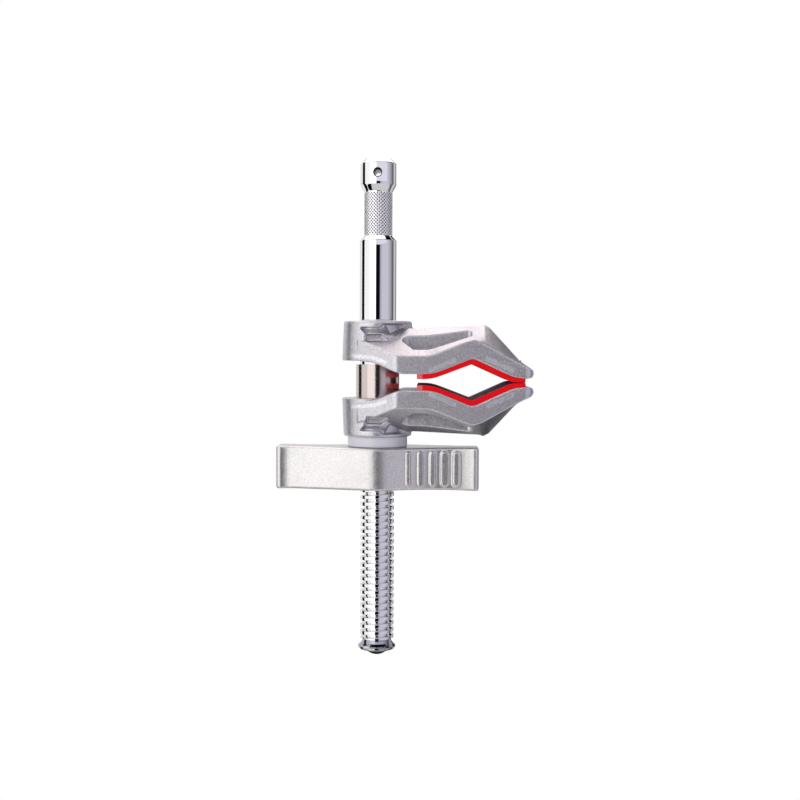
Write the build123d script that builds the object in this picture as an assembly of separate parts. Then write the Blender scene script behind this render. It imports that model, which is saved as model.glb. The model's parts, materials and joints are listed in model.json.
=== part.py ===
from build123d import *
import math
import os

# Screw clamp for grips and rigging: a chromed spindle with a 16 mm baby stud on top, a cast jaw
# pinned to it, a second cast jaw that slides below, and a die-cast cross handle that drives it.
#
# Frame: the origin is where the stud's axis leaves the top face of the fixed jaw's boss.
# +Z runs up the stud, +X towards the jaws' tips, and Y along the pipe that the jaws grip.
# All sizes are in millimetres.

os.makedirs("parts", exist_ok=True)

# --- driving dimensions -------------------------------------------------------------------------

# Spindle: stud above the origin, smooth shank and thread below it.
STUD_R = 8.0
SHANK_R = 7.82
HEAD_R = 7.82
NECK_R = 6.15
NECK_BOTTOM_Z = 37.1
NECK_TOP_Z = 56.2
HEAD_BOTTOM_Z = 59.3
HEAD_TOP_Z = 70.8
HEAD_CHAMFER = 2.3
STUD_CHAMFER = 2.0
TETHER_HOLE_R = 1.65
TETHER_SINK = 0.3
TETHER_HOLE_Z = 64.0

THREAD_PITCH = 3.0
THREAD_R = 7.4
THREAD_ROOT_R = 5.65
THREAD_CREST = 1.45
THREAD_ROOT = 0.85
THREAD_TOP_Z = -50.0
SPINDLE_BOTTOM_Z = -139.8
KEYWAY_TOP_Z = -24.0
KEYWAY_BOTTOM_Z = -116.0
KEYWAY_WIDTH = 4.0
KEYWAY_FLOOR = 5.4
END_THREAD_R = 3.0
END_HOLE_DEPTH = 13.0

# Jaws: stations of the cast arm, from the boss at X = -8 to the tip at X = 66.
JAW_MIRROR_Z = -26.2
BOSS_R = 14.9
BOSS_FOOT_R = 15.6
BOSS_RIM_FILLET = 1.1
SLEEVE_RELIEF_R = 10.0
FIXED_BOSS = (-17.3, 0.0)
MOVING_BOSS_TOP_Z = -33.6
MOVING_BOSS_BOTTOM_Z = -50.4
SPINE_HALF = 7.0
ARM_HALF = 23.0
ROOT_CORNER_R = 0.2
SHOULDER_CORNER_R = 4.0
TIP_CORNER_R = 4.0
BOSS_WALL_R = 11.4

# (X, Z) of the pad seat under the arm, and how far its bends are eased either side of a corner.
SEAT_CORNERS = [
    (-8.0, -17.3), (-3.0, -17.9), (1.0, -18.9), (7.0, -21.6), (11.0, -22.8), (24.4, -22.8),
    (41.0, -16.1), (58.2, -24.0), (63.9, -24.6), (66.1, -24.0), (66.9, -22.6),
]
SEAT_BENDS = {24.4: 3.2, 41.0: 1.5, 58.2: 2.4}
# (X, Z) of the outer top edge of the arm's side rails.
RAIL_LINE = [
    (-8.0, -8.6), (-3.1, -10.2), (8.3, -15.1), (21.4, -15.2), (24.6, -14.4), (38.0, -9.0),
    (41.2, -8.1), (44.4, -9.0), (60.8, -18.0), (65.1, -20.0), (66.4, -21.0), (66.9, -22.0),
]
# (X, Z) of the spine's top edge, and how much higher each jaw's spine stands.
SPINE_LINE = [
    (-8.0, -3.9), (17.2, -3.9), (44.4, -2.6), (46.2, -2.0), (48.7, -3.3), (61.9, -17.6),
    (65.1, -19.8), (66.9, -22.0),
]
FIXED_SPINE_LIFT = 0.5
MOVING_SPINE_LIFT = -0.5
# (X, half width) of the arm in plan.
WIDTH_LINE = [(-8.0, 13.3), (8.3, ARM_HALF), (66.9, ARM_HALF)]

# Lightening pockets beside the spine: plan outline (X, Y) of one side and the floor above the seat.
POCKET_OUTLINE = [
    (10.3, -13.4), (13.4, -11.2), (40.9, -11.2), (40.9, -18.9), (22.3, -19.2), (16.0, -19.2),
]
POCKET_FLOOR = 3.6
POCKET_CORNER_R = 1.7

# Recesses in the side of the boss, above the arm: (X, Z) outlines from the boss's top face. The
# wide one has a floor that slopes outwards from under the rim, given as (radius, Z).
FLANK_RECESS = [
    (-7.4, -2.9), (-5.1, -5.4), (-5.3, -7.9), (-4.0, -9.9), (8.3, -14.0), (17.0, -9.0), (17.0, -1.4),
    (2.6, -1.4), (1.6, -2.9),
]
FLANK_FLOOR = [(12.2, 0.0), (12.2, -2.9), (14.5, -6.6), (14.3, -16.0), (18.0, -16.0), (18.0, 0.0)]
FLANK_POCKET = [(-4.4, -5.9), (2.4, -5.9), (5.8, -8.9), (-4.3, -9.2)]
FLANK_POCKET_Y = 11.4
RIM_POCKET = [(3.2, -1.6), (14.4, -1.5), (10.6, -3.6), (5.6, -5.9)]
RIM_POCKET_Y = 5.6

# Fillet between the boss and the spine: (radius, Z) from the boss's top face.
GUSSET = [
    (12.0, -6.0), (12.0, -1.5), (14.4, -1.5), (15.1, -2.7), (16.2, -3.5), (17.6, -4.2), (17.6, -6.0),
]

# Rubber pads: inner face (X, Z), half length along the pipe, and the pegs that hold them.
PAD_START_X = 17.5
PAD_END_X = 63.2
PAD_CORNERS = [(17.5, -24.9), (23.8, -24.9), (40.7, -18.5), (57.4, -26.0), (63.2, -26.1)]
PAD_BENDS = {23.8: 3.6, 57.4: 1.6}
PAD_HALF = 22.9
PEG_R = 1.0
TIP_PEG_X = 62.0
THROAT_PEG_X = 20.5
THROAT_PEG_TOP_Z = -15.5
FIXED_PEG_PROUD = 0.7
MOVING_PEG_PROUD = -0.9

# Guide sleeve, key, collar and the retaining parts inside the handle.
SLEEVE_R = 9.5
SLEEVE_BORE_R = 7.92
SLEEVE_TOP_Z = -19.0
SLEEVE_BOTTOM_Z = -62.6
RING_GROOVE_R = 8.85
RING_TOP_Z = -60.75
RING_THICKNESS = 1.1
RING_R = 12.0
RING_GAP_ANGLE = 40.0
WASHER_THICKNESS = 1.0
WASHER_R = 12.1
KEY_Z = -39.4
KEY_R = 1.9
KEY_TIP_Y = 5.55
KEY_SCREW_R = 2.5
KEY_SCREW_Y = (11.0, 15.1)
HEX_SOCKET_ACROSS = 2.5
COLLAR_R = 13.1
COLLAR_BORE_R = 9.58
COLLAR_TOP_Z = -50.4
COLLAR_BOTTOM_Z = -54.9

# Cross pin through the fixed jaw and the spindle.
CROSS_PIN_R = 1.5
CROSS_PIN_BORE_R = 0.8
CROSS_PIN_Z = -10.0
CROSS_PIN_X = (-15.0, 13.0)
CROSS_PIN_SLOT = 0.6

# Handle.
HUB_R = 16.0
HANDLE_TIP_X = 44.45
WING_NEAR_Y = -10.0
WING_FAR_Y = 5.2
WING_COVE_X = 36.0
COVE_END_DEGREES = -18.0
COVE_PASSES = 8
WING_HOLLOW = (27.0, -8.2)
HANDLE_TOP_HUB_Z = -55.05
HANDLE_TOP_TIP_Z = -54.8
HANDLE_BOTTOM_HUB_Z = -73.2
HANDLE_BOTTOM_TIP_Z = -73.7
HANDLE_CORNER_R = 1.8
HANDLE_EDGE_R = 1.0
HANDLE_BORE_R = 9.58
HANDLE_POCKET_R = 12.5
HANDLE_SHOULDER_Z = -59.65
RIB_SPANS = [(12.8, 14.8), (18.0, 20.2), (23.1, 25.5), (28.1, 31.3), (33.2, 36.0)]
RIB_TOP_Z = -56.7
RIB_BOTTOM_Z = -71.6
RIB_PROUD = 0.75
NUT_TOP_Z = -63.3
NUT_BOTTOM_Z = -72.9
NUT_BORE_R = 7.48
DOWEL_R = 1.25
DOWEL_LENGTH = 8.0

# End stop.
CAP_NECK_R = 6.0
CAP_R = 8.2
CAP_BOTTOM_Z = -144.6
CAP_RECESS_R = 5.5
CAP_RECESS = 0.3
END_SCREW_HEAD_R = 5.25
END_SCREW_BOTTOM_Z = -147.5
END_SCREW_RIM = 0.5
END_SCREW_LENGTH = 15.0
END_SCREW_SOCKET = 4.0
END_SCREW_SOCKET_DEPTH = 1.9

BOTTOM = (Align.CENTER, Align.CENTER, Align.MIN)
UP = (0, 0, 1)

# A level below the upper jaw, and the height of a block from there to above its spine.
JAW_FLOOR_Z = -30.0
JAW_BLOCK = 31.0


# --- helpers ------------------------------------------------------------------------------------

def rod(radius, low, high, x=0.0, y=0.0):
    """A round bar along Z between two heights."""
    return Pos(x, y, low) * Cylinder(radius, high - low, align=BOTTOM)


def rod_along_x(radius, start, end, z):
    return Pos(start, 0, z) * Rot(0, 90, 0) * Cylinder(radius, end - start, align=BOTTOM)


def rod_along_y(radius, start, end, z, x=0.0):
    return Pos(x, start, z) * Rot(-90, 0, 0) * Cylinder(radius, end - start, align=BOTTOM)


def turned(points):
    """A solid of revolution about Z from (radius, Z) points."""
    return revolve(make_face(Plane.XZ * Polyline(*points, close=True)), Axis.Z)


def plate(points, near, far):
    """An (X, Z) outline extruded along Y between two values of Y."""
    face = make_face(Plane.XZ * Polyline(*points, close=True))
    return Pos(0, near, 0) * extrude(face, amount=far - near, dir=(0, 1, 0))


def height_on(line, x):
    """The second value of a polyline at x."""
    for (x0, z0), (x1, z1) in zip(line, line[1:]):
        if x0 <= x <= x1:
            return z0 + (z1 - z0) * (x - x0) / (x1 - x0)
    raise ValueError(x)


def eased(corners, bends):
    """A polyline whose corners at the given X are replaced by short curves of the given reach."""
    line = []
    for i, (x, z) in enumerate(corners):
        if x not in bends:
            line.append((x, z))
            continue
        start = (x - bends[x], height_on(corners[i - 1:i + 1], x - bends[x]))
        end = (x + bends[x], height_on(corners[i:i + 2], x + bends[x]))
        for t in (0.0, 0.25, 0.5, 0.75, 1.0):
            weights = ((1 - t) ** 2, 2 * t * (1 - t), t ** 2)
            points = list(zip(weights, (start, (x, z), end)))
            line.append(tuple(sum(w * point[axis] for w, point in points) for axis in (0, 1)))
    return line


def both_sides(solid):
    """A solid and its mirror image across the jaw's middle plane."""
    return [solid, mirror(solid, about=Plane.XZ)]


# --- spindle ------------------------------------------------------------------------------------

def thread_section():
    """The cross-section square to the axis of a trapezoidal thread of one start."""
    degrees = 360.0 / THREAD_PITCH
    crest_edge = THREAD_CREST * degrees / 2
    root_edge = 180.0 - THREAD_ROOT * degrees / 2

    def at(radius, angle):
        return radius * math.cos(math.radians(angle)), radius * math.sin(math.radians(angle))

    def flank(side):
        steps = [i / 4 for i in range(5)]
        radii = [THREAD_R + (THREAD_ROOT_R - THREAD_R) * t for t in steps]
        angles = [side * (crest_edge + (root_edge - crest_edge) * t) for t in steps]
        return [at(radius, angle) for radius, angle in zip(radii, angles)]

    crest = ThreePointArc(at(THREAD_R, -crest_edge), at(THREAD_R, 0), at(THREAD_R, crest_edge))
    root_ends = [at(THREAD_ROOT_R, side * root_edge) for side in (1, -1)]
    root = ThreePointArc(root_ends[0], at(THREAD_ROOT_R, 180), root_ends[1])
    edges = [crest, Spline(*flank(1)), root, Spline(*reversed(flank(-1)))]
    return make_face(Curve() + edges).faces()[0]


def spindle():
    """One turned steel piece: head, neck, stud, smooth shank and trapezoidal thread."""
    shank = turned([
        (0, THREAD_TOP_Z), (SHANK_R, THREAD_TOP_Z), (SHANK_R, 0), (STUD_R, 0),
        (STUD_R, NECK_BOTTOM_Z - STUD_CHAMFER),
        (NECK_R, NECK_BOTTOM_Z), (NECK_R, NECK_TOP_Z), (HEAD_R, HEAD_BOTTOM_Z),
        (HEAD_R, HEAD_TOP_Z - HEAD_CHAMFER), (HEAD_R - HEAD_CHAMFER, HEAD_TOP_Z), (0, HEAD_TOP_Z),
    ])
    length = THREAD_TOP_Z - SPINDLE_BOTTOM_Z
    screw = Solid.extrude_linear_with_rotation(
        thread_section(), (0, 0, 0), (0, 0, length), 360.0 * length / THREAD_PITCH,
    )
    body = Pos(0, 0, SPINDLE_BOTTOM_Z) * screw + shank
    keyway_length = KEYWAY_TOP_Z - KEYWAY_BOTTOM_Z
    keyway = Pos(0, KEYWAY_FLOOR, KEYWAY_BOTTOM_Z) * Box(
        KEYWAY_WIDTH, STUD_R, keyway_length, align=(Align.CENTER, Align.MIN, Align.MIN),
    )
    body -= keyway
    body -= rod_along_y(TETHER_HOLE_R, -HEAD_R - 1, HEAD_R + 1, TETHER_HOLE_Z)
    sink = Pos(0, -HEAD_R - 0.1, TETHER_HOLE_Z) * Rot(-90, 0, 0) * Cone(
        TETHER_HOLE_R + TETHER_SINK + 0.4, TETHER_HOLE_R, TETHER_SINK + 0.9, align=BOTTOM,
    )
    for cut in both_sides(sink):
        body -= cut
    body -= rod_along_x(CROSS_PIN_R, -STUD_R - 1, STUD_R + 1, CROSS_PIN_Z)
    body -= rod(END_THREAD_R, SPINDLE_BOTTOM_Z, SPINDLE_BOTTOM_Z + END_HOLE_DEPTH)
    return body


# --- jaws ---------------------------------------------------------------------------------------

SEAT_LINE = eased(SEAT_CORNERS, SEAT_BENDS)
PAD_FACE = eased(PAD_CORNERS, PAD_BENDS)


def arm(spine_lift):
    """The cast arm as a ruled loft through cross-sections at every change of its outline."""
    lines = (SEAT_LINE, RAIL_LINE, SPINE_LINE, WIDTH_LINE)
    stations = sorted({x for line in lines for x, _ in line})
    sections = []
    for x in stations:
        low = height_on(SEAT_LINE, x)
        rail = max(height_on(RAIL_LINE, x), low + 0.3)
        spine = max(height_on(SPINE_LINE, x) + spine_lift, rail + 0.05)
        half = height_on(WIDTH_LINE, x)
        outline = [
            (-half, low), (-half, rail), (-SPINE_HALF, spine),
            (SPINE_HALF, spine), (half, rail), (half, low),
        ]
        sections.append(make_face(Plane.YZ.offset(x) * Polyline(*outline, close=True)))
    corners = [(x, -half) for x, half in WIDTH_LINE] + [(x, half) for x, half in reversed(WIDTH_LINE)]
    radii = [
        ROOT_CORNER_R, SHOULDER_CORNER_R, TIP_CORNER_R, TIP_CORNER_R, SHOULDER_CORNER_R, ROOT_CORNER_R,
    ]
    plan = make_face(FilletPolyline(*corners, radius=radii, close=True))
    return loft(sections, ruled=True) & extrude(Pos(0, 0, JAW_FLOOR_Z) * plan, amount=JAW_BLOCK, dir=UP)


def side_pocket():
    """A pocket between rail and spine whose floor follows the pad seat."""
    outline = FilletPolyline(*POCKET_OUTLINE, radius=POCKET_CORNER_R, close=True)
    column = extrude(Pos(0, 0, JAW_FLOOR_Z) * make_face(outline), amount=JAW_BLOCK, dir=UP)
    ends = (POCKET_OUTLINE[0][0] - 1, POCKET_OUTLINE[2][0] + 1)
    turns = [x for x, _ in SEAT_LINE if ends[0] < x < ends[1]]
    floor = [(x, height_on(SEAT_LINE, x) + POCKET_FLOOR) for x in (ends[0], *turns, ends[1])]
    above = plate([(ends[0], 1), *floor, (ends[1], 1)], -ARM_HALF, 0)
    return column & above


def jaw(boss_low, boss_high, spine_lift):
    """A jaw with its pad seat facing down; boss_low and boss_high are its boss's faces."""
    foot = Cone(BOSS_FOOT_R, BOSS_R, boss_high - boss_low, align=BOTTOM)
    boss = Pos(0, 0, boss_low) * fillet(foot.edges().sort_by(Axis.Z)[-1], BOSS_RIM_FILLET)
    lift = Pos(0, 0, boss_high)
    spine_block = Pos(0, 0, JAW_FLOOR_Z) * Box(
        ARM_HALF, 2 * SPINE_HALF, JAW_BLOCK, align=(Align.MIN, Align.CENTER, Align.MIN),
    )
    gusset = (lift * turned(GUSSET)) & spine_block
    body = arm(spine_lift) + boss + gusset
    recess = lift * (plate(FLANK_RECESS, -BOSS_FOOT_R - 2, -SPINE_HALF) & turned(FLANK_FLOOR))
    for cut in both_sides(recess - arm(spine_lift)):
        body -= cut
    bore_wall = rod(BOSS_WALL_R, JAW_FLOOR_Z, 1)
    for outline, depth in ((FLANK_POCKET, FLANK_POCKET_Y), (RIM_POCKET, RIM_POCKET_Y)):
        for cut in both_sides(lift * plate(outline, -BOSS_FOOT_R - 2, -depth) - bore_wall):
            body -= cut
    for cut in both_sides(side_pocket()):
        body -= cut
    peg_top = height_on(SPINE_LINE, TIP_PEG_X - PEG_R) + 1.5
    body -= rod(PEG_R, JAW_FLOOR_Z, peg_top, TIP_PEG_X)
    body -= rod(PEG_R, JAW_FLOOR_Z, THROAT_PEG_TOP_Z, THROAT_PEG_X)
    return body


def pad(tip_proud):
    """The rubber lining of a jaw, with two pegs moulded on its back; the tip's peg stands proud."""
    seat = [(x, z) for x, z in SEAT_LINE if PAD_START_X < x < PAD_END_X]
    first = (PAD_START_X, height_on(SEAT_LINE, PAD_START_X))
    last = (PAD_END_X, height_on(SEAT_LINE, PAD_END_X))
    body = plate([first, *seat, last, *reversed(PAD_FACE)], -PAD_HALF, PAD_HALF)
    tip_top = height_on(SPINE_LINE, TIP_PEG_X) + tip_proud
    body += rod(PEG_R, height_on(SEAT_LINE, TIP_PEG_X) - 0.5, tip_top, TIP_PEG_X)
    body += rod(PEG_R, height_on(SEAT_LINE, THROAT_PEG_X) - 0.5, THROAT_PEG_TOP_Z, THROAT_PEG_X)
    return body


def turned_over(solid):
    """The lower jaw faces the upper one across the plane where the pads meet."""
    return mirror(solid, about=Plane.XY.offset(JAW_MIRROR_Z))


def fixed_jaw_pad():
    return pad(FIXED_PEG_PROUD)


def moving_jaw_pad():
    return turned_over(pad(MOVING_PEG_PROUD))


def fixed_jaw():
    body = jaw(*FIXED_BOSS, FIXED_SPINE_LIFT)
    body -= rod(SHANK_R, JAW_FLOOR_Z, 1)
    body -= rod(SLEEVE_RELIEF_R, JAW_FLOOR_Z, FIXED_BOSS[0])
    body -= rod_along_x(CROSS_PIN_R, -BOSS_FOOT_R - 1, CROSS_PIN_X[1], CROSS_PIN_Z)
    return body


def moving_jaw():
    low = 2 * JAW_MIRROR_Z - MOVING_BOSS_TOP_Z
    high = 2 * JAW_MIRROR_Z - MOVING_BOSS_BOTTOM_Z
    body = turned_over(jaw(low, high, MOVING_SPINE_LIFT))
    body -= rod(SLEEVE_R, -60, -20)
    body -= rod_along_y(KEY_R, SLEEVE_R - 1, KEY_SCREW_Y[0], KEY_Z)
    body -= rod_along_y(KEY_SCREW_R, KEY_SCREW_Y[0], BOSS_FOOT_R + 1, KEY_Z)
    return body


def cross_pin():
    """A slotted spring pin that locks the fixed jaw to the spindle."""
    start, end = CROSS_PIN_X
    tube = rod_along_x(CROSS_PIN_R, start, end, CROSS_PIN_Z)
    tube -= rod_along_x(CROSS_PIN_BORE_R, start, end, CROSS_PIN_Z)
    slot = Pos((start + end) / 2, 0, CROSS_PIN_Z + CROSS_PIN_R) * Box(
        end - start, CROSS_PIN_SLOT, 2 * CROSS_PIN_R,
    )
    return tube - slot


# --- sliding parts ------------------------------------------------------------------------------

def guide_sleeve():
    """A steel tube pressed in the moving jaw; it slides on the spindle and carries the ring."""
    body = rod(SLEEVE_R, SLEEVE_BOTTOM_Z, SLEEVE_TOP_Z)
    body -= rod(SLEEVE_BORE_R, SLEEVE_BOTTOM_Z, SLEEVE_TOP_Z)
    groove_bottom = RING_TOP_Z - RING_THICKNESS
    groove = rod(SLEEVE_R + 1, groove_bottom, RING_TOP_Z) - rod(RING_GROOVE_R, groove_bottom, RING_TOP_Z)
    body -= groove
    body -= rod_along_y(KEY_R, SLEEVE_BORE_R - 2, SLEEVE_R + 1, KEY_Z)
    return body


def hex_socket(across, depth):
    return extrude(RegularPolygon(across / 2, 6, major_radius=False), amount=depth)


def guide_key():
    """A round key through the sleeve; its tip runs in the spindle's keyway."""
    return rod_along_y(KEY_R, KEY_TIP_Y, KEY_SCREW_Y[0], KEY_Z)


def key_screw():
    """A grub screw behind the key."""
    near, far = KEY_SCREW_Y
    body = rod_along_y(KEY_SCREW_R, near, far, KEY_Z)
    socket = Pos(0, far, KEY_Z) * Rot(90, 0, 0) * hex_socket(HEX_SOCKET_ACROSS, 2.2)
    return body - socket


def thrust_collar():
    """A nylon ring between the moving jaw and the handle."""
    body = rod(COLLAR_R, COLLAR_BOTTOM_Z, COLLAR_TOP_Z)
    body = fillet(body.edges().group_by(Axis.Z)[0], 0.5)
    return body - rod(COLLAR_BORE_R, COLLAR_BOTTOM_Z - 1, COLLAR_TOP_Z + 1)


def retaining_washer():
    top = RING_TOP_Z + WASHER_THICKNESS
    return rod(WASHER_R, RING_TOP_Z, top) - rod(COLLAR_BORE_R, RING_TOP_Z, top)


def retaining_ring():
    """A snap ring in the sleeve's groove, open on one side."""
    low = RING_TOP_Z - RING_THICKNESS
    body = rod(RING_R, low, RING_TOP_Z) - rod(RING_GROOVE_R, low, RING_TOP_Z)
    width = 2 * RING_GROOVE_R * math.sin(math.radians(RING_GAP_ANGLE / 2))
    gap = Pos(-RING_R, 0, low) * Box(RING_R * 2, width, RING_THICKNESS, align=BOTTOM)
    return body - gap


# --- handle -------------------------------------------------------------------------------------

def hollow_arc(side):
    """The pushing face of one wing: from the hub's side to the wing's end, curved inwards."""
    start = (HUB_R * math.cos(math.radians(62)), -HUB_R * math.sin(math.radians(62)))
    end = (HANDLE_TIP_X, WING_NEAR_Y)
    points = [start, WING_HOLLOW, end]
    return [(side * x, side * y) for x, y in points]


def tangent_point(x, y, side):
    """Where the straight trailing face from (x, y) touches the hub."""
    reach = math.hypot(x, y)
    angle = math.atan2(y, x) + side * math.acos(HUB_R / reach)
    return HUB_R * math.cos(angle), HUB_R * math.sin(angle)


def trailing_edges(side):
    """The straight trailing face of one wing and the cove that turns it outwards near the end."""
    far = (side * HANDLE_TIP_X, side * WING_FAR_Y)
    reach = HANDLE_TIP_X - WING_COVE_X
    slope = 0.0
    for _ in range(COVE_PASSES):
        mean_slope = (slope + math.radians(COVE_END_DEGREES)) / 2
        bend = (side * WING_COVE_X, side * (WING_FAR_Y + reach * math.tan(mean_slope)))
        touch = tangent_point(*bend, 1)
        slope = math.atan2(abs(touch[1] - bend[1]), abs(bend[0] - touch[0]))
    cove = TangentArc(bend, far, tangent=(bend[0] - touch[0], bend[1] - touch[1]))
    return [cove, Line(bend, touch)], touch, far


def handle_outline():
    """The handle in plan: a round hub and two wings, alike when turned half a turn."""
    edges = []
    for side in (1, -1):
        start, middle, end = hollow_arc(side)
        trailing, touch, far = trailing_edges(side)
        next_start = hollow_arc(-side)[0]
        rim_angle = (math.atan2(touch[1], touch[0]) + math.atan2(next_start[1], next_start[0])) / 2
        if abs(math.atan2(touch[1], touch[0]) - math.atan2(next_start[1], next_start[0])) > math.pi:
            rim_angle += math.pi
        rim = (HUB_R * math.cos(rim_angle), HUB_R * math.sin(rim_angle))
        edges += [
            ThreePointArc(start, middle, end),
            Line(end, far),
            *trailing,
            ThreePointArc(touch, rim, next_start),
        ]
    return make_face(Curve() + edges)


def wing_face_y(x):
    """Y of the curved pushing face at x, from the circle through its three points."""
    (x1, y1), (x2, y2), (x3, y3) = hollow_arc(1)
    d = 2 * (x1 * (y2 - y3) + x2 * (y3 - y1) + x3 * (y1 - y2))
    a, b, c = x1 ** 2 + y1 ** 2, x2 ** 2 + y2 ** 2, x3 ** 2 + y3 ** 2
    cx = (a * (y2 - y3) + b * (y3 - y1) + c * (y1 - y2)) / d
    cy = (a * (x3 - x2) + b * (x1 - x3) + c * (x2 - x1)) / d
    radius = math.hypot(x1 - cx, y1 - cy)
    return cy + math.sqrt(radius ** 2 - (x - cx) ** 2)


def grip_rib(start, end):
    """An upright rib with a rounded top and foot on the pushing face."""
    middle = (start + end) / 2
    near = wing_face_y(middle) - RIB_PROUD
    slot = SlotOverall(RIB_TOP_Z - RIB_BOTTOM_Z, end - start, rotation=90)
    face = Plane.XZ.offset(-near) * Pos(middle, (RIB_TOP_Z + RIB_BOTTOM_Z) / 2) * slot
    return extrude(face, amount=3.0, dir=(0, 1, 0))


def handle():
    blank = extrude(Pos(0, 0, -80) * handle_outline(), amount=30, dir=(0, 0, 1))
    corners = [
        e for e in blank.edges().filter_by(Axis.Z)
        if abs(e.center().X) > HANDLE_TIP_X - 1
    ]
    blank = fillet(corners, HANDLE_CORNER_R)
    reach = HANDLE_TIP_X + 1
    side = Curve() + [
        ThreePointArc((-reach, HANDLE_TOP_TIP_Z), (0, HANDLE_TOP_HUB_Z), (reach, HANDLE_TOP_TIP_Z)),
        Line((reach, HANDLE_TOP_TIP_Z), (reach, HANDLE_BOTTOM_TIP_Z)),
        ThreePointArc(
            (reach, HANDLE_BOTTOM_TIP_Z), (0, HANDLE_BOTTOM_HUB_Z), (-reach, HANDLE_BOTTOM_TIP_Z),
        ),
        Line((-reach, HANDLE_BOTTOM_TIP_Z), (-reach, HANDLE_TOP_TIP_Z)),
    ]
    profile = extrude(Plane.XZ * make_face(side), amount=40, both=True)
    body = blank & profile
    rims = body.edges().filter_by(lambda e: e.length > 0.5 and abs(e.tangent_at(0.5).Z) < 0.5)
    body = fillet(rims, HANDLE_EDGE_R)
    for start, end in RIB_SPANS:
        rib = grip_rib(start, end)
        body += rib
        body += Rot(0, 0, 180) * rib
    body -= rod(HANDLE_BORE_R, -90, -50)
    body -= rod(HANDLE_POCKET_R, -90, HANDLE_SHOULDER_Z)
    for hole in dowel_places(DOWEL_R):
        body -= hole
    return body


def dowel_places(radius):
    """Two axial dowels half in the nut and half in the hub."""
    return [
        rod(radius, NUT_BOTTOM_Z, NUT_BOTTOM_Z + DOWEL_LENGTH, 0, side * HANDLE_POCKET_R)
        for side in (1, -1)
    ]


def handle_nut():
    """The bronze nut pressed in the hub; its bore clears the thread's crests."""
    body = rod(HANDLE_POCKET_R, NUT_BOTTOM_Z, NUT_TOP_Z)
    body -= rod(NUT_BORE_R, NUT_BOTTOM_Z, NUT_TOP_Z)
    for hole in dowel_places(DOWEL_R):
        body -= hole
    return body


def nut_dowels():
    return Compound(children=dowel_places(DOWEL_R))


# --- end stop -----------------------------------------------------------------------------------

def end_cap():
    """A flared stop washer that keeps the handle on the spindle."""
    top = SPINDLE_BOTTOM_Z
    recess_top = CAP_BOTTOM_Z + CAP_RECESS
    return turned([
        (END_THREAD_R + 0.2, top), (CAP_NECK_R, top), (CAP_NECK_R + 0.2, top - 1.0),
        (CAP_NECK_R + 0.7, top - 2.0),
        (CAP_R - 0.7, top - 3.0), (CAP_R, top - 3.5), (CAP_R, CAP_BOTTOM_Z + 0.5),
        (CAP_R - 0.5, CAP_BOTTOM_Z), (CAP_RECESS_R, CAP_BOTTOM_Z), (CAP_RECESS_R, recess_top),
        (END_THREAD_R + 0.2, recess_top),
    ])


def end_cap_screw():
    """A button-head screw into the end of the spindle."""
    seat = CAP_BOTTOM_Z + CAP_RECESS
    low = END_SCREW_BOTTOM_Z
    rim = (END_SCREW_HEAD_R, seat - END_SCREW_RIM)
    rise = rim[1] - low
    dome_r = (END_SCREW_HEAD_R ** 2 + rise ** 2) / (2 * rise)
    halfway = (END_SCREW_HEAD_R / 2, low + dome_r - math.sqrt(dome_r ** 2 - (END_SCREW_HEAD_R / 2) ** 2))
    outline = Curve() + [
        Line((0, low), (0, seat + END_SCREW_LENGTH)),
        Line((0, seat + END_SCREW_LENGTH), (END_THREAD_R, seat + END_SCREW_LENGTH)),
        Line((END_THREAD_R, seat + END_SCREW_LENGTH), (END_THREAD_R, seat)),
        Line((END_THREAD_R, seat), (END_SCREW_HEAD_R, seat)),
        Line((END_SCREW_HEAD_R, seat), rim),
        ThreePointArc(rim, halfway, (0, low)),
    ]
    body = revolve(Plane.XZ * make_face(outline), Axis.Z)
    return body - Pos(0, 0, low - 0.1) * hex_socket(END_SCREW_SOCKET, END_SCREW_SOCKET_DEPTH)


PARTS = {
    "spindle": spindle,
    "fixed_jaw": fixed_jaw,
    "fixed_jaw_pad": fixed_jaw_pad,
    "jaw_cross_pin": cross_pin,
    "end_cap": end_cap,
    "end_cap_screw": end_cap_screw,
    "moving_jaw": moving_jaw,
    "moving_jaw_pad": moving_jaw_pad,
    "guide_sleeve": guide_sleeve,
    "guide_key": guide_key,
    "key_screw": key_screw,
    "thrust_collar": thrust_collar,
    "retaining_washer": retaining_washer,
    "retaining_ring": retaining_ring,
    "handle": handle,
    "handle_nut": handle_nut,
    "nut_dowels": nut_dowels,
}

for name, make in PARTS.items():
    export_step(make(), f"parts/{name}.step")
    print("wrote", name)
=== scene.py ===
import json
import math
import bmesh
import bpy
from mathutils import Matrix, Vector


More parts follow.
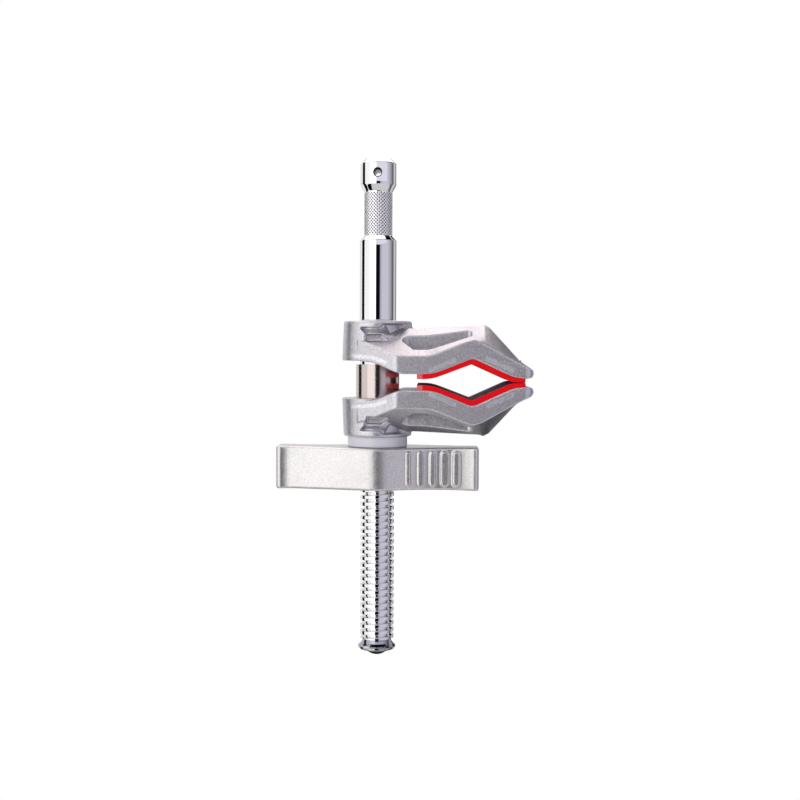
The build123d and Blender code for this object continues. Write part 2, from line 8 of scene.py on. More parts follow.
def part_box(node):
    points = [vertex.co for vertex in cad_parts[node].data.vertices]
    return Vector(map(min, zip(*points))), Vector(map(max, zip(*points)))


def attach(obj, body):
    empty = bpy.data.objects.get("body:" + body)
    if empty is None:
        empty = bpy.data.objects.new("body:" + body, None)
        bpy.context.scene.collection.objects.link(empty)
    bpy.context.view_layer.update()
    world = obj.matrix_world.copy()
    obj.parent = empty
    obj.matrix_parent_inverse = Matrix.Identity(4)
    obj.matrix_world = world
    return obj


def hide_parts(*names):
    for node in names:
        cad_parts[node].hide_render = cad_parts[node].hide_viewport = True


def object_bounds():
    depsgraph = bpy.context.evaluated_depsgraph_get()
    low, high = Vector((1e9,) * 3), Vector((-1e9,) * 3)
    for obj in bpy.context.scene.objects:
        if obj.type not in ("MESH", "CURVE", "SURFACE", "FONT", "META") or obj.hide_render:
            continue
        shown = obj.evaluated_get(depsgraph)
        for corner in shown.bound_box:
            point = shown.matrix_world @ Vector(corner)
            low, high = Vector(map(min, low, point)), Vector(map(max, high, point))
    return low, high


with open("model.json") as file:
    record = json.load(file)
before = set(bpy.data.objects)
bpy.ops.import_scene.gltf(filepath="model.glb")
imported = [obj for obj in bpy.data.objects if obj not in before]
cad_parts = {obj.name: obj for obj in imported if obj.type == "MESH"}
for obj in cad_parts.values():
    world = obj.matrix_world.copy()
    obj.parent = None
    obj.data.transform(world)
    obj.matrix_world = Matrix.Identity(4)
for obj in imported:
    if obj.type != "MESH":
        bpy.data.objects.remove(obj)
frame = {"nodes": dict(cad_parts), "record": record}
cad_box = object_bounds()

# A screw clamp with a chromed stud. The spindle is rebuilt here with its knurl and rounded thread. The
# other pieces are the CAD meshes; the castings and the pads have softened edges. Lengths are in metres.

MM = 0.001
FULL_TURN = 2 * math.pi


# --- camera -------------------------------------------------------------------------------------

CAMERA_PLACE = Vector((0.0235, -0.528, -0.0135))
CAMERA_YAW = math.radians(1.48)
CAMERA_PITCH = math.radians(-2.29)
CAMERA_ROLL = math.radians(0.26)
SENSOR_MM = 36.0
LENS_MM = 54.0
CLIP_NEAR = 0.01
CLIP_FAR = 20.0


def add_camera():
    data = bpy.data.cameras.new("studio_camera")
    data.sensor_width = SENSOR_MM
    data.lens = LENS_MM
    data.clip_start = CLIP_NEAR
    data.clip_end = CLIP_FAR
    camera = bpy.data.objects.new("studio_camera", data)
    bpy.context.scene.collection.objects.link(camera)
    level = math.radians(90)
    turn = Matrix.Rotation(CAMERA_YAW, 4, "Z") @ Matrix.Rotation(level + CAMERA_PITCH, 4, "X")
    camera.matrix_world = Matrix.Translation(CAMERA_PLACE) @ turn @ Matrix.Rotation(CAMERA_ROLL, 4, "Z")
    bpy.context.scene.camera = camera


# --- node helpers -------------------------------------------------------------------------------

NOISE_ROUGHNESS = 0.55
# The range in which nearly all of a noise texture's values lie.
NOISE_LOW = 0.3
NOISE_HIGH = 0.7
PANEL_RIM = 0.2 * MM


class Shader:
    """A Principled material and short calls that add nodes to it."""

    def __init__(self, name, colour, metallic, roughness):
        self.material = bpy.data.materials.new(name)
        self.material.use_nodes = True
        self.nodes = self.material.node_tree.nodes
        self.links = self.material.node_tree.links
        self.surface = self.nodes["Principled BSDF"]
        self.set("Base Color", (*colour, 1.0))
        self.set("Metallic", metallic)
        self.set("Roughness", roughness)
        self.place = self.nodes.new("ShaderNodeTexCoord").outputs["Object"]

    def set(self, socket, value):
        self.surface.inputs[socket].default_value = value

    def link(self, output, socket):
        self.links.new(output, self.surface.inputs[socket])

    def noise(self, scale, detail=3.0, stretch=(1, 1, 1)):
        """Noise in object space; scale is cells per metre."""
        mapping = self.nodes.new("ShaderNodeMapping")
        mapping.inputs["Scale"].default_value = stretch
        self.links.new(self.place, mapping.inputs["Vector"])
        node = self.nodes.new("ShaderNodeTexNoise")
        node.inputs["Scale"].default_value = scale
        node.inputs["Detail"].default_value = detail
        node.inputs["Roughness"].default_value = NOISE_ROUGHNESS
        self.links.new(mapping.outputs["Vector"], node.inputs["Vector"])
        return node.outputs["Fac"]

    def span(self, value, low, high, out_low, out_high):
        """value mapped from low..high to out_low..out_high, clamped."""
        node = self.nodes.new("ShaderNodeMapRange")
        ends = {"From Min": low, "From Max": high, "To Min": out_low, "To Max": out_high}
        for socket, number in ends.items():
            node.inputs[socket].default_value = number
        self.links.new(value, node.inputs["Value"])
        return node.outputs["Result"]

    def spread(self, noise, low, high):
        """A noise's usual range mapped to low..high."""
        return self.span(noise, NOISE_LOW, NOISE_HIGH, low, high)

    def maths(self, operation, first, second):
        node = self.nodes.new("ShaderNodeMath")
        node.operation = operation
        for socket, value in zip(node.inputs, (first, second)):
            if isinstance(value, (int, float)):
                socket.default_value = value
            else:
                self.links.new(value, socket)
        return node.outputs[0]

    def mix(self, factor, first, second, blend="MIX"):
        """A colour mix; first and second are colours or sockets."""
        node = self.nodes.new("ShaderNodeMix")
        node.data_type = "RGBA"
        node.blend_type = blend
        for name, value in (("Factor", factor), ("A", first), ("B", second)):
            socket = [s for s in node.inputs if s.name == name and s.enabled][0]
            if isinstance(value, tuple):
                socket.default_value = (*value, 1.0)
            elif isinstance(value, (int, float)):
                socket.default_value = value
            else:
                self.links.new(value, socket)
        return [s for s in node.outputs if s.enabled][0]

    def bump(self, height, distance, strength=1.0, under=None):
        node = self.nodes.new("ShaderNodeBump")
        node.inputs["Strength"].default_value = strength
        node.inputs["Distance"].default_value = distance
        self.links.new(height, node.inputs["Height"])
        if under is not None:
            self.links.new(under, node.inputs["Normal"])
        return node.outputs["Normal"]

    def grey(self, value):
        """A colour of three equal channels."""
        node = self.nodes.new("ShaderNodeCombineColor")
        for socket in node.inputs[:3]:
            self.links.new(value, socket)
        return node.outputs["Color"]

    def coordinate(self, axis):
        """The place along one axis, in metres from the frame's origin."""
        split = self.nodes.new("ShaderNodeSeparateXYZ")
        self.links.new(self.place, split.inputs["Vector"])
        return split.outputs[axis]

    def panel(self, x, z, length, height, tilt):
        """1 inside a tilted rectangle in X and Z, 0 outside, with a soft rim."""
        across = self.maths("SUBTRACT", self.coordinate("X"), x)
        up = self.maths("SUBTRACT", self.coordinate("Z"), z)
        cosine = math.cos(math.radians(tilt))
        sine = math.sin(math.radians(tilt))

        def turned(operation, first, second):
            scaled = (self.maths("MULTIPLY", first, cosine), self.maths("MULTIPLY", second, sine))
            return self.maths(operation, *scaled)

        along = turned("ADD", across, up)
        over = turned("SUBTRACT", up, across)
        inside = [
            self.span(self.maths("ABSOLUTE", value, 0.0), half - PANEL_RIM, half + PANEL_RIM, 1.0, 0.0)
            for value, half in ((along, length / 2), (over, height / 2))
        ]
        return self.maths("MULTIPLY", *inside)

    def from_axis(self):
        """The distance from the Z axis."""
        squares = [self.maths("MULTIPLY", self.coordinate(a), self.coordinate(a)) for a in ("X", "Y")]
        return self.maths("POWER", self.maths("ADD", *squares), 0.5)

    def edges(self):
        """How far the surface bends outwards, from 0 to 1."""
        geometry = self.nodes.new("ShaderNodeNewGeometry")
        return geometry.outputs["Pointiness"]

    def normal_z(self):
        geometry = self.nodes.new("ShaderNodeNewGeometry")
        split = self.nodes.new("ShaderNodeSeparateXYZ")
        self.links.new(geometry.outputs["Normal"], split.inputs["Vector"])
        return split.outputs["Z"]


# --- materials ----------------------------------------------------------------------------------

NECK_RADIUS = 6.15 * MM
# Where the painted highlight on the pads' left ends fades out.
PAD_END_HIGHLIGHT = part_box("fixed_jaw_pad")[0].x + 2.6 * MM
PAD_MEETING = (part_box("fixed_jaw_pad")[0].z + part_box("moving_jaw_pad")[1].z) / 2
PANEL_RUB = 0.85
EDGE_RUB = 0.6
RUBBED_BRIGHTNESS = 1.35
# Blank bands on the upper jaw's flat sides, in millimetres and degrees: X, height above the plane
# where the pads meet, length, breadth and tilt.
UPPER_PANELS = [
    (28.3, 7.2, 12.4, 1.9, 23.0),
    (52.4, 7.6, 13.0, 2.1, -24.5),
    (-6.5, 10.7, 9.0, 1.5, -4.0),
    (1.2, 9.3, 7.4, 1.6, -19.0),
]


def cast_metal(name, colour, rough_low, rough_high, grain, grain_depth, panels=()):
    """Shot-blasted casting: fine grain, a slow mottle and edges rubbed a little brighter. panels
    are blank bands on the flat sides, rubbed bright: (X, Z, length, height, tilt)."""
    s = Shader(name, colour, 1.0, rough_high)
    fine = s.noise(grain, detail=4.0)
    slow = s.noise(55.0, detail=3.0)
    speckle = s.spread(fine, 0.78, 1.13)
    mottle = s.spread(slow, 0.95, 1.03)
    shade = s.maths("MULTIPLY", speckle, mottle)
    worn = s.span(s.edges(), 0.51, 0.57, 0.0, EDGE_RUB)
    for panel in panels:
        worn = s.maths("MAXIMUM", worn, s.maths("MULTIPLY", s.panel(*panel), PANEL_RUB))
    bright = tuple(min(1.0, c * RUBBED_BRIGHTNESS) for c in colour)
    base = s.mix(worn, colour, bright)
    tinted = s.mix(1.0, base, s.grey(shade), blend="MULTIPLY")
    s.link(tinted, "Base Color")
    s.link(s.spread(fine, rough_low, rough_high), "Roughness")
    waves = s.bump(s.noise(320.0, detail=2.0), 0.12 * MM, 0.35)
    s.link(s.bump(fine, grain_depth, 0.55, under=waves), "Normal")
    return s.material


def chrome():
    s = Shader("polished_chrome", (0.86, 0.86, 0.88), 1.0, 0.02)
    s.link(s.spread(s.noise(160.0, detail=2.0), 0.008, 0.018), "Roughness")
    s.link(s.bump(s.noise(220.0, detail=1.0), 0.006 * MM, 0.15), "Normal")
    return s.material


def knurled_chrome():
    """Diamond knurling: bright points over grooves painted dark, as painted shade and some dirt."""
    s = Shader("knurled_chrome", (0.84, 0.84, 0.86), 1.0, 0.16)
    # Painted shade: the base colour darkens from the crests down to the groove bottoms.
    height = s.span(s.from_axis(), NECK_RADIUS - 0.11 * MM, NECK_RADIUS - 0.03 * MM, 0.0, 1.0)
    s.link(s.mix(height, (0.12, 0.11, 0.13), (0.98, 0.97, 0.99)), "Base Color")
    s.link(s.spread(s.noise(900.0), 0.16, 0.28), "Roughness")
    return s.material


def turned_steel():
    """Fine lathe rings round a ground sleeve. Its base colour is steel darkened and tinted red, partly
    painted reflection of the red pads and painted shade from the jaws.
    """
    # Painted reflection and shade: a darker, redder base colour than bare steel.
    s = Shader("ground_steel_rings", (0.61, 0.53, 0.51), 1.0, 0.16)
    rings = s.noise(2600.0, detail=2.0, stretch=(0.02, 0.02, 1.0))
    s.link(s.spread(rings, 0.14, 0.18), "Roughness")
    s.link(s.bump(rings, 0.004 * MM, 0.3), "Normal")
    return s.material


def plain_steel(name, colour, roughness):
    """Smooth steel, or another bare metal, with a fine grain in its gloss."""
    s = Shader(name, colour, 1.0, roughness)
    fine = s.noise(1500.0)
    s.link(s.spread(fine, roughness * 0.8, roughness * 1.25), "Roughness")
    s.link(s.bump(fine, 0.03 * MM, 0.4), "Normal")
    return s.material


def rubber(grip_sign):
    """Red moulded rubber; the face that grips is dark and grained. grip_sign is its way along Z."""
    s = Shader("red_pad_rubber", (0.95, 0.006, 0.014), 0.0, 0.42)
    fine = s.noise(1300.0, detail=3.0)
    facing = s.maths("MULTIPLY", s.normal_z(), grip_sign)
    grip = s.span(facing, 0.70, 0.78, 0.0, 1.0)
    red = s.mix(s.span(fine, 0.35, 0.65, 0.0, 0.5), (0.98, 0.004, 0.010), (0.86, 0.003, 0.010))
    # Painted highlight: near the pad's left end the red is mixed towards pale pink.
    end_highlight = s.span(s.coordinate("X"), PAD_END_HIGHLIGHT - 0.6 * MM, PAD_END_HIGHLIGHT, 0.30, 0.0)
    s.link(s.mix(grip, s.mix(end_highlight, red, (1.0, 0.55, 0.60)), (0.26, 0.14, 0.20)), "Base Color")
    s.link(s.span(grip, 0.0, 1.0, 0.40, 0.72), "Roughness")
    s.link(s.bump(fine, 0.06 * MM, 0.5), "Normal")
    s.set("Specular IOR Level", 0.15)
    return s.material


def nylon():
    s = Shader("white_nylon", (0.80, 0.80, 0.86), 0.0, 0.38)
    s.set("Subsurface Weight", 0.15)
    s.set("Subsurface Radius", (1.5 * MM, 1.5 * MM, 1.5 * MM))
    s.set("Subsurface Scale", 1.0)
    fine = s.noise(700.0)
    s.link(s.mix(s.spread(fine, 0.0, 1.0), (0.79, 0.79, 0.85), (0.83, 0.83, 0.88)), "Base Color")
    s.link(s.bump(fine, 0.04 * MM, 0.3), "Normal")
    return s.material


# --- mesh helpers -------------------------------------------------------------------------------

def piece(name, mesh, material, body, slot_name, *nodes):
    """A finished mesh as a piece that rides a body and stands for CAD nodes."""
    obj = bpy.data.objects.new(name, mesh)
    bpy.context.scene.collection.objects.link(obj)
    if not mesh.materials:
        mesh.materials.append(material)
    for polygon in mesh.polygons:
        polygon.use_smooth = True
    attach(obj, body)
    if nodes:
        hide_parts(*nodes)
    return obj


def rounded(points, radius, steps=4):
    """A line of points whose inner corners are turned into small arcs."""
    result = [Vector(points[0])]
    for before, corner, after in zip(points, points[1:], points[2:]):
        corner = Vector(corner)
        back = Vector(before) - corner
        ahead = Vector(after) - corner
        reach = min(radius, back.length * 0.45, ahead.length * 0.45)
        start = corner + back.normalized() * reach
        end = corner + ahead.normalized() * reach
        for i in range(steps + 1):
            t = i / steps
            result.append(start.lerp(corner, t).lerp(corner.lerp(end, t), t))
    result.append(Vector(points[-1]))
    return result


def densified(profile, step):
    """The same profile with no run longer than step."""
    result = [profile[0]]
    for a, b in zip(profile, profile[1:]):
        count = max(1, math.ceil((b - a).length / step))
        result += [a.lerp(b, i / count) for i in range(1, count + 1)]
    return result


def lathe(name, profile, segments=160, relief=None):
    """A turned mesh from a profile that starts and ends on the axis. relief(angle, z, r) gives a
    changed radius."""
    bm = bmesh.new()
    rings = []
    for r, z in profile[1:-1]:
        ring = []
        for i in range(segments):
            angle = FULL_TURN * i / segments
            radius = relief(angle, z, r) if relief else r
            ring.append(bm.verts.new((radius * math.cos(angle), radius * math.sin(angle), z)))
        rings.append(ring)
    for low, high in zip(rings, rings[1:]):
        for i in range(segments):
            j = (i + 1) % segments
            bm.faces.new((low[i], low[j], high[j], high[i]))
    for ring, end in ((rings[0], profile[0]), (rings[-1], profile[-1])):
        tip = bm.verts.new((0, 0, end.y))
        for i in range(segments):
            bm.faces.new((ring[i], ring[(i + 1) % segments], tip))
    bmesh.ops.recalc_face_normals(bm, faces=bm.faces)
    return finished(name, bm)


def finished(name, bm):
    """A mesh made from a bmesh, which is freed."""
    mesh = bpy.data.meshes.new(name)
    bm.to_mesh(mesh)
    bm.free()
    return mesh


def cut(mesh, *cutters):
    """mesh with each cutter mesh taken away."""
    host = bpy.data.objects.new("cut_host", mesh)
    bpy.context.scene.collection.objects.link(host)
    tools = []
    for cutter in cutters:
        tool = bpy.data.objects.new("cut_tool", cutter)
        bpy.context.scene.collection.objects.link(tool)
        tools.append(tool)
        boolean = host.modifiers.new("cut", "BOOLEAN")
        boolean.operation = "DIFFERENCE"
        boolean.solver = "EXACT"
        boolean.object = tool
    depsgraph = bpy.context.evaluated_depsgraph_get()
    shaped = bpy.data.meshes.new_from_object(host.evaluated_get(depsgraph))
    for obj in (host, *tools):
        bpy.data.objects.remove(obj)
    return shaped


def box_mesh(low, high):
    bm = bmesh.new()
    bmesh.ops.create_cube(bm, size=1.0)
    middle = (Vector(low) + Vector(high)) / 2
    size = Vector(high) - Vector(low)
    for vert in bm.verts:
        vert.co = middle + Vector(c * s for c, s in zip(vert.co, size))
    return finished("box_cutter", bm)


# --- spindle ------------------------------------------------------------------------------------

HEAD_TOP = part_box("spindle")[1].z
SPINDLE_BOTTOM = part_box("spindle")[0].z
STUD_RADIUS = frame["record"]["mounts"][0]["dims"]["r_mm"] * MM
SHANK_RADIUS = STUD_RADIUS - 0.18 * MM
HEAD_RADIUS = SHANK_RADIUS
HEAD_CHAMFER = 2.3 * MM
HEAD_LENGTH = 11.5 * MM
HEAD_TAPER = 3.1 * MM
NECK_LENGTH = 19.1 * MM
STUD_CHAMFER = 2.0 * MM
SHANK_END = -50.0 * MM
TETHER_HOLE_RADIUS = 1.65 * MM
TETHER_HOLE_DROP = 6.8 * MM
TETHER_FLARE = 1.75 * MM
TETHER_FLARE_DEPTH = 0.8 * MM
TETHER_REACH = 10 * MM
TURNED_EDGE = 0.35 * MM
HEAD_STEP = 0.6 * MM
SHARP_ANGLE = math.radians(50)
KNURL_COUNT = 26
KNURL_PITCH = 1.5 * MM
KNURL_DEPTH = 0.32 * MM
KNURL_SAMPLES = 10
THREAD_PITCH = 3.0 * MM
THREAD_RADIUS = 7.4 * MM
THREAD_ROOT_RADIUS = 5.65 * MM
THREAD_SEGMENTS = 72
THREAD_EDGE = 0.14 * MM
# (rise, radius) over one and a half pitches of the thread.
THREAD_CORNERS = [
    (0.0, THREAD_RADIUS), (1.5 * MM, THREAD_RADIUS), (1.87 * MM, THREAD_ROOT_RADIUS),
    (2.63 * MM, THREAD_ROOT_RADIUS), (3.0 * MM, THREAD_RADIUS), (4.5 * MM, THREAD_RADIUS),
]
# The profile starts this far up the crest and is one pitch long.
THREAD_START = 0.9 * MM
KEYWAY_HALF_WIDTH = 2.0 * MM
KEYWAY_FLOOR = 5.4 * MM
KEYWAY_SPAN = (-116.0 * MM, -24.0 * MM)
KEYWAY_REACH = 20 * MM
KEYWAY_OVERLAP = 3 * MM
KNURL_MEAN = 0.75
SAME_PLACE = 1e-7
SAME_HEIGHT = 1e-9
# The stud's material slots after the polished one.
KNURLED_SLOT = 1
# The slot for the tether hole's wall, whose dark colour is partly painted shade.
BARE_AND_SHADE_SLOT = 2


def knurl_relief(low, high):
    """Crossed ridges with a pit in each diamond; they fade out over the last half pitch."""
    def relief(angle, z, r):
        if not low < z < high:
            return r
        around = KNURL_COUNT * angle / FULL_TURN
        along = z / KNURL_PITCH
        ways = [abs((around + side * along) % 1.0 - 0.5) * 2 for side in (1, -1)]
        fade = min(1.0, (z - low) / (KNURL_PITCH / 2), (high - z) / (KNURL_PITCH / 2))
        return r + KNURL_DEPTH * (max(ways) - KNURL_MEAN) * fade
    return relief


def spindle_top():
    """Head, knurled neck, stud and smooth shank."""
    taper_top = HEAD_TOP - HEAD_LENGTH
    neck_top = taper_top - HEAD_TAPER
    neck_bottom = neck_top - NECK_LENGTH
    outline = [
        (0, SHANK_END - MM), (SHANK_RADIUS, SHANK_END - MM), (SHANK_RADIUS, 0), (STUD_RADIUS, 0),
        (STUD_RADIUS, neck_bottom - STUD_CHAMFER), (NECK_RADIUS, neck_bottom), (NECK_RADIUS, neck_top),
        (HEAD_RADIUS, taper_top), (HEAD_RADIUS, HEAD_TOP - HEAD_CHAMFER),
        (HEAD_RADIUS - HEAD_CHAMFER, HEAD_TOP), (0, HEAD_TOP),
    ]
    profile = rounded(outline, TURNED_EDGE)
    lower = [p for p in profile if p.y <= neck_bottom]
    neck = densified([p for p in profile if neck_bottom < p.y < neck_top], KNURL_PITCH / KNURL_SAMPLES)
    head = densified([p for p in profile if p.y >= neck_top], HEAD_STEP)
    knurl = knurl_relief(neck_bottom, neck_top)
    body = lathe("spindle_top", lower + neck + head, KNURL_COUNT * KNURL_SAMPLES, knurl)
    return cut(body, tether_bore(), keyway_box(SHANK_END - KEYWAY_OVERLAP, KEYWAY_SPAN[1]))


def tether_bore():
    """The cutter for the hole across the head, flared at both ends."""
    reach = TETHER_REACH
    r = TETHER_HOLE_RADIUS
    flare = r + TETHER_FLARE
    edge = HEAD_RADIUS - TETHER_FLARE_DEPTH
    profile = ((0, -reach), (flare, -reach), (r, -edge), (r, edge), (flare, reach), (0, reach))
    bore = lathe("tether_bore", [Vector(p) for p in profile], 48)
    place = Matrix.Translation((0, 0, HEAD_TOP - TETHER_HOLE_DROP))
    bore.transform(place @ Matrix.Rotation(math.pi / 2, 4, "X"))
    return bore


def keyway_box(low, high):
    """The cutter for the keyway between two heights."""
    return box_mesh((-KEYWAY_HALF_WIDTH, KEYWAY_FLOOR, low), (KEYWAY_HALF_WIDTH, KEYWAY_REACH, high))


def spindle_thread():
    """A one-start trapezoidal thread as a helical grid, closed by a cap at each end."""
    line = rounded(THREAD_CORNERS, THREAD_EDGE, 3)
    profile = [Vector((THREAD_START, THREAD_RADIUS))]
    profile += [p for p in line if THREAD_START <= p.x < THREAD_START + THREAD_PITCH]
    turns = math.ceil((SHANK_END - SPINDLE_BOTTOM) / THREAD_PITCH) + 3
    bm = bmesh.new()
    columns = []
    for i in range(turns * THREAD_SEGMENTS + 1):
        angle = FULL_TURN * i / THREAD_SEGMENTS
        base = SPINDLE_BOTTOM + THREAD_PITCH * (i / THREAD_SEGMENTS - 2)
        column = []
        for rise, radius in profile:
            z = min(max(base + rise, SPINDLE_BOTTOM), SHANK_END)
            column.append(bm.verts.new((radius * math.cos(angle), radius * math.sin(angle), z)))
        columns.append(column)
    last = len(profile) - 1
    for i in range(len(columns) - 1):
        a, b = columns[i], columns[i + 1]
        for j in range(last):
            bm.faces.new((a[j], b[j], b[j + 1], a[j + 1]))
        if i + THREAD_SEGMENTS + 1 < len(columns):
            c, d = columns[i + THREAD_SEGMENTS], columns[i + THREAD_SEGMENTS + 1]
            bm.faces.new((a[last], b[last], d[0], c[0]))
    flat = [
        f for f in bm.faces
        if any(
            all(abs(v.co.z - end) < SAME_HEIGHT for v in f.verts)
            for end in (SPINDLE_BOTTOM, SHANK_END)
        )
    ]
    bmesh.ops.delete(bm, geom=flat, context="FACES")
    bmesh.ops.remove_doubles(bm, verts=bm.verts, dist=SAME_PLACE)
    open_edges = [e for e in bm.edges if e.is_boundary]
    bmesh.ops.holes_fill(bm, edges=open_edges, sides=0)
    bmesh.ops.recalc_face_normals(bm, faces=bm.faces)
    mesh = finished("spindle_thread", bm)
    return cut(mesh, keyway_box(KEYWAY_SPAN[0], SHANK_END + KEYWAY_OVERLAP))


def build_spindle():
    """The stud and the screw, which overlap by a millimetre and ride together."""
    polished = chrome()
    top = spindle_top()
    # The tether hole's wall: bare unplated steel, coloured darker than bare steel as painted shade inside
    # the hole.
    bore_steel_and_shade = plain_steel("bare_bore_steel_painted_shade", (0.30, 0.30, 0.31), 0.3)
    for material in (polished, knurled_chrome(), bore_steel_and_shade):
        top.materials.append(material)
    neck_top = HEAD_TOP - HEAD_LENGTH - HEAD_TAPER
    hole_z = HEAD_TOP - TETHER_HOLE_DROP
    for polygon in top.polygons:
        middle = polygon.center
        if neck_top - NECK_LENGTH < middle.z < neck_top:
            polygon.material_index = KNURLED_SLOT
        elif math.hypot(middle.x, middle.z - hole_z) < TETHER_HOLE_RADIUS * 1.03:
            polygon.material_index = BARE_AND_SHADE_SLOT
    top.set_sharp_from_angle(angle=SHARP_ANGLE)
    piece("spindle_stud", top, polished, "spindle_body", "chromed_steel", "spindle")
    thread = spindle_thread()
    thread.set_sharp_from_angle(angle=SHARP_ANGLE)
    piece("spindle_screw", thread, polished, "spindle_body", "chromed_steel", "spindle")


# --- castings and small parts -------------------------------------------------------------------

CAST_GRID = 0.38 * MM
CAST_PASSES = 2
MOULDED_EDGE = 0.35 * MM


def soften(node):
    """Rounds a casting's edges the way a mould does."""
    obj = frame["nodes"][node]
    remesh = obj.modifiers.new("cast_skin", "REMESH")
    remesh.mode = "VOXEL"
    remesh.voxel_size = CAST_GRID
    remesh.use_smooth_shade = True
    smooth = obj.modifiers.new("cast_edges", "SMOOTH")
    smooth.factor = 0.5
    smooth.iterations = CAST_PASSES


def dress(node, material):
    """Gives a CAD node its material."""
    obj = frame["nodes"][node]
    obj.data.materials.clear()
    obj.data.materials.append(material)


def edge_bevel(node):
    """Small rounded edges on a moulded part."""
    obj = frame["nodes"][node]
    weld = obj.modifiers.new("weld", "WELD")
    weld.merge_threshold = 1e-6
    flat = obj.modifiers.new("flat_faces", "DECIMATE")
    flat.decimate_type = "DISSOLVE"
    flat.angle_limit = math.radians(0.5)
    bevel = obj.modifiers.new("edge_bevel", "BEVEL")
    bevel.width = MOULDED_EDGE
    bevel.segments = 3
    bevel.limit_method = "ANGLE"
    bevel.angle_limit = math.radians(35)
    for polygon in obj.data.polygons:
        polygon.use_smooth = True
    weighted = obj.modifiers.new("weighted", "WEIGHTED_NORMAL")
    weighted.keep_sharp = True


def build_castings():
    for node, way in (("fixed_jaw", 1), ("moving_jaw", -1)):
        panels = [
            (x * MM, PAD_MEETING + way * z * MM, length * MM, height * MM, way * tilt)
            for x, z, length, height, tilt in UPPER_PANELS
        ]
        skin = cast_metal("cast_aluminium", (0.68, 0.66, 0.70), 0.33, 0.44, 1300.0, 0.09 * MM, panels)
        dress(node, skin)
        soften(node)
    dress("handle", cast_metal("handle_casting", (0.73, 0.71, 0.705), 0.28, 0.38, 1900.0, 0.05 * MM))
    soften("handle")


def build_small_parts():
    spring = plain_steel("spring_steel", (0.42, 0.42, 0.44), 0.3)
    black = plain_steel("black_oxide", (0.03, 0.03, 0.034), 0.35)
    bronze = plain_steel("bronze", (0.62, 0.44, 0.22), 0.3)
    sleeve = turned_steel()
    cap_steel = plain_steel("cap_steel", (0.40, 0.41, 0.46), 0.12)
    collar = nylon()
    for node, sign in (("fixed_jaw_pad", -1), ("moving_jaw_pad", 1)):
        dress(node, rubber(sign))
        edge_bevel(node)
    materials = {
        "guide_sleeve": sleeve, "retaining_washer": sleeve, "thrust_collar": collar, "end_cap": cap_steel,
        "end_cap_screw": black, "key_screw": black, "jaw_cross_pin": spring, "guide_key": spring,
        "retaining_ring": spring, "nut_dowels": spring, "handle_nut": bronze,
    }
    for node, material in materials.items():
        dress(node, material)


# --- studio -------------------------------------------------------------------------------------

CARD_DISTANCE = 1.0
CARD_FOOT = -0.6
CARD_TOP = 0.9
CARD_PANEL_DEGREES = 6
ROOM_RADIUS = 4.0
ROOM_SIDES = 64
FLOOR_GAP = 1 * MM
WHITE = (1.0, 1.0, 1.0)
WARM = (1.0, 0.935, 0.92)
LAVENDER = (0.90, 0.87, 1.0)
# The key card's inner edge, the height above which the header card fills the dark gap, and the
# header card's far edge.
KEY_EDGE = -11.0
HEADER_EDGE = 0.197
HEADER_END = 60
# (bearing, strength) of the lavender fill from its inner edge round to the right.
FILL_BANDS = (
    (13.5, 0.40), (17, 0.52), (21, 0.62), (28, 0.70), (HEADER_END, 0.70), (68, 0.62), (76, 0.54),
    (84, 0.42), (93, 0.28), (104, 0.12), (114, 0.0),
)


def glow(name, colour, strength):
    material = bpy.data.materials.new(name)
    material.use_nodes = True
    tree = material.node_tree
    tree.nodes.clear()
    emission = tree.nodes.new("ShaderNodeEmission")
    emission.inputs["Color"].default_value = (*colour, 1.0)
    emission.inputs["Strength"].default_value = strength
    output = tree.nodes.new("ShaderNodeOutputMaterial")
    tree.links.new(emission.outputs[0], output.inputs["Surface"])
    return material


def staged(name, verts, faces, material, seen_by_camera):
    """A piece of the studio: the camera sees it, or it lights the object, but not both."""
    mesh = bpy.data.meshes.new(name)
    mesh.from_pydata(verts, [], faces)
    mesh.materials.append(material)
    obj = bpy.data.objects.new(name, mesh)
    bpy.context.scene.collection.objects.link(obj)
    obj.visible_camera = seen_by_camera
    obj.visible_diffuse = not seen_by_camera
    obj.visible_glossy = not seen_by_camera
    obj.visible_shadow = False
    return obj


def wall_card(name, start, end, colour, strength, low=CARD_FOOT, high=CARD_TOP):
    """A curved softbox round the object between two bearings, in degrees from the camera's side,
    positive to the right."""
    count = max(2, round(abs(end - start) / CARD_PANEL_DEGREES))
    verts = []
    for i in range(count + 1):
        bearing = math.radians(start + (end - start) * i / count)
        x = CARD_DISTANCE * math.sin(bearing)
        y = -CARD_DISTANCE * math.cos(bearing)
        verts += [(x, y, low), (x, y, high)]
    faces = [(2 * i, 2 * i + 2, 2 * i + 3, 2 * i + 1) for i in range(count)]
    return staged(name, verts, faces, glow(name, colour, strength), False)


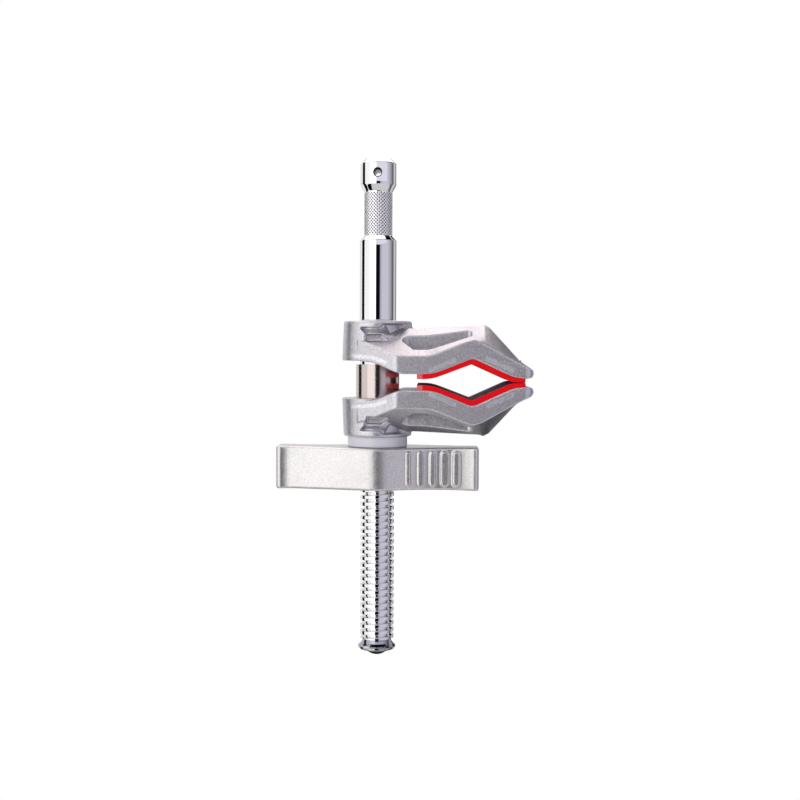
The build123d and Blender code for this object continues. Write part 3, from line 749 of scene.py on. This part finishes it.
def top_card(name, centre, half_x, half_y, colour, strength, tilt):
    turn = Matrix.Translation(centre) @ Matrix.Rotation(math.radians(tilt), 4, "X")
    corners = ((-half_x, -half_y), (half_x, -half_y), (half_x, half_y), (-half_x, half_y))
    verts = [turn @ Vector((x, y, 0)) for x, y in corners]
    return staged(name, verts, [(0, 1, 2, 3)], glow(name, colour, strength), False)


def build_cards():
    """The soft lights. The gaps left between them show as dark bands in the chrome."""
    wall_card("key_card", -54, KEY_EDGE, WHITE, 1.45)
    wall_card("key_wing", -93, -54, WHITE, 1.05)
    wall_card("header_card", KEY_EDGE, HEADER_END, LAVENDER, 0.90, low=HEADER_EDGE)
    for (start, strength), (end, _) in zip(FILL_BANDS, FILL_BANDS[1:]):
        top = HEADER_EDGE if end <= HEADER_END else CARD_TOP
        wall_card(f"fill_at_{round(start)}", start, end, LAVENDER, strength, high=top)
    wall_card("rim_card", 116, 148, WHITE, 0.60)
    wall_card("back_card", 166, 212, WHITE, 0.75)
    wall_card("left_rim", 212, 241, WHITE, 0.92)
    top_card("sky_card", (-0.33, 0.35, 1.0), 0.8, 0.8, WARM, 1.75, -20)
    top_card("table_bounce", (0.25, -0.35, CARD_FOOT), 0.85, 0.55, WHITE, 0.66, 0)


def build_room():
    """A plain pale floor and backdrop round a dim world."""
    world = bpy.data.worlds.new("dim_room")
    world.use_nodes = True
    world.node_tree.nodes["Background"].inputs["Color"].default_value = (0.004, 0.004, 0.005, 1.0)
    bpy.context.scene.world = world
    n = ROOM_SIDES
    floor_z = cad_box[0].z
    angles = [FULL_TURN * i / n for i in range(n)]
    ring = [(ROOM_RADIUS * math.cos(angle), ROOM_RADIUS * math.sin(angle)) for angle in angles]
    floor_verts = [(x, y, floor_z) for x, y in ring]
    staged("floor", floor_verts, [tuple(range(n))], glow("pale_floor", WHITE, 1.0), True)
    low = floor_z - FLOOR_GAP
    high = floor_z + 2 * ROOM_RADIUS
    verts = [(x, y, low) for x, y in ring] + [(x, y, high) for x, y in ring]
    walls = [(i, (i + 1) % n, n + (i + 1) % n, n + i) for i in range(n)]
    ceiling = tuple(range(n, 2 * n))
    staged("backdrop", verts, [*walls, ceiling], glow("pale_backdrop", WHITE, 1.0), True)


add_camera()
build_spindle()
build_castings()
build_small_parts()
build_cards()
build_room()
bpy.context.scene.view_settings.view_transform = "Standard"
